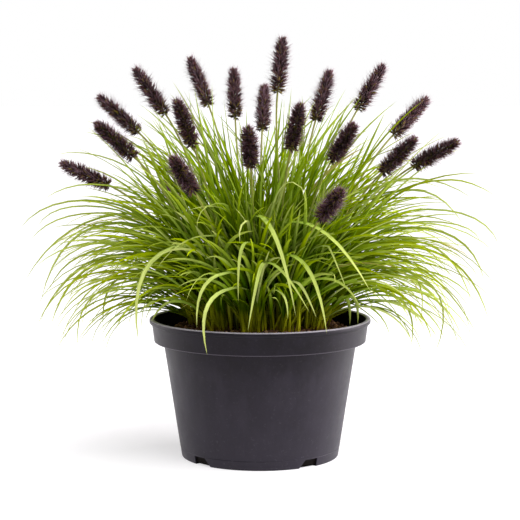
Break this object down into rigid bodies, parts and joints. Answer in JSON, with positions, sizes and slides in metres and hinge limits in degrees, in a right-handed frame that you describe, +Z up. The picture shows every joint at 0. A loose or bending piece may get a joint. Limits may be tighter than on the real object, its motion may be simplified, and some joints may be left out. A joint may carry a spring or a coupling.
{
  "type": "potted fountain grass clump",
  "caption": "Clump of arching fountain grass with purple-black bottlebrush flower spikes, growing in a round dark plastic nursery pot that stands on its flat foot.",
  "frame": {"origin": "on the pot's axis, at the flat underside that stands on the floor", "axes": "+Z up along the pot's axis, -Y towards the front of the clump, +X to its right, along its greatest spread"},
  "size_m": [0.5867, 0.4885, 0.5285],
  "materials": {
    "pot_plastic": "matte",
    "potting_mix": "matte",
    "flower_stem": "satin",
    "flower_spike": "matte",
    "leaf": "satin"
  },
  "bodies": {
    "root": {"pot": "pot_plastic", "potting_mix": "potting_mix", "flower_stem_01": "flower_stem", "flower_stem_02": "flower_stem", "flower_stem_03": "flower_stem", "flower_stem_04": "flower_stem", "flower_stem_05": "flower_stem", "flower_stem_06": "flower_stem", "flower_stem_07": "flower_stem", "flower_stem_08": "flower_stem", "flower_stem_09": "flower_stem", "flower_stem_10": "flower_stem", "flower_stem_11": "flower_stem", "flower_stem_12": "flower_stem", "flower_stem_13": "flower_stem", "flower_stem_14": "flower_stem", "flower_stem_15": "flower_stem", "flower_stem_16": "flower_stem", "flower_stem_17": "flower_stem", "flower_stem_18": "flower_stem", "flower_stem_19": "flower_stem", "flower_stem_20": "flower_stem", "flower_stem_21": "flower_stem", "flower_spike_01": "flower_spike", "flower_spike_02": "flower_spike", "flower_spike_03": "flower_spike", "flower_spike_04": "flower_spike", "flower_spike_05": "flower_spike", "flower_spike_06": "flower_spike", "flower_spike_07": "flower_spike", "flower_spike_08": "flower_spike", "flower_spike_09": "flower_spike", "flower_spike_10": "flower_spike", "flower_spike_11": "flower_spike", "flower_spike_12": "flower_spike", "flower_spike_13": "flower_spike", "flower_spike_14": "flower_spike", "flower_spike_15": "flower_spike", "flower_spike_16": "flower_spike", "flower_spike_17": "flower_spike", "flower_spike_18": "flower_spike", "flower_spike_19": "flower_spike", "flower_spike_20": "flower_spike", "flower_spike_21": "flower_spike", "leaf_tuft_01": "leaf", "leaf_tuft_02": "leaf", "leaf_tuft_03": "leaf", "leaf_tuft_04": "leaf", "leaf_tuft_05": "leaf", "leaf_tuft_06": "leaf", "leaf_tuft_07": "leaf", "leaf_tuft_08": "leaf", "leaf_tuft_09": "leaf", "leaf_tuft_10": "leaf", "leaf_tuft_11": "leaf", "leaf_tuft_12": "leaf", "leaf_tuft_13": "leaf", "leaf_tuft_14": "leaf", "leaf_tuft_15": "leaf", "leaf_tuft_16": "leaf"}
  },
  "joints": []
}
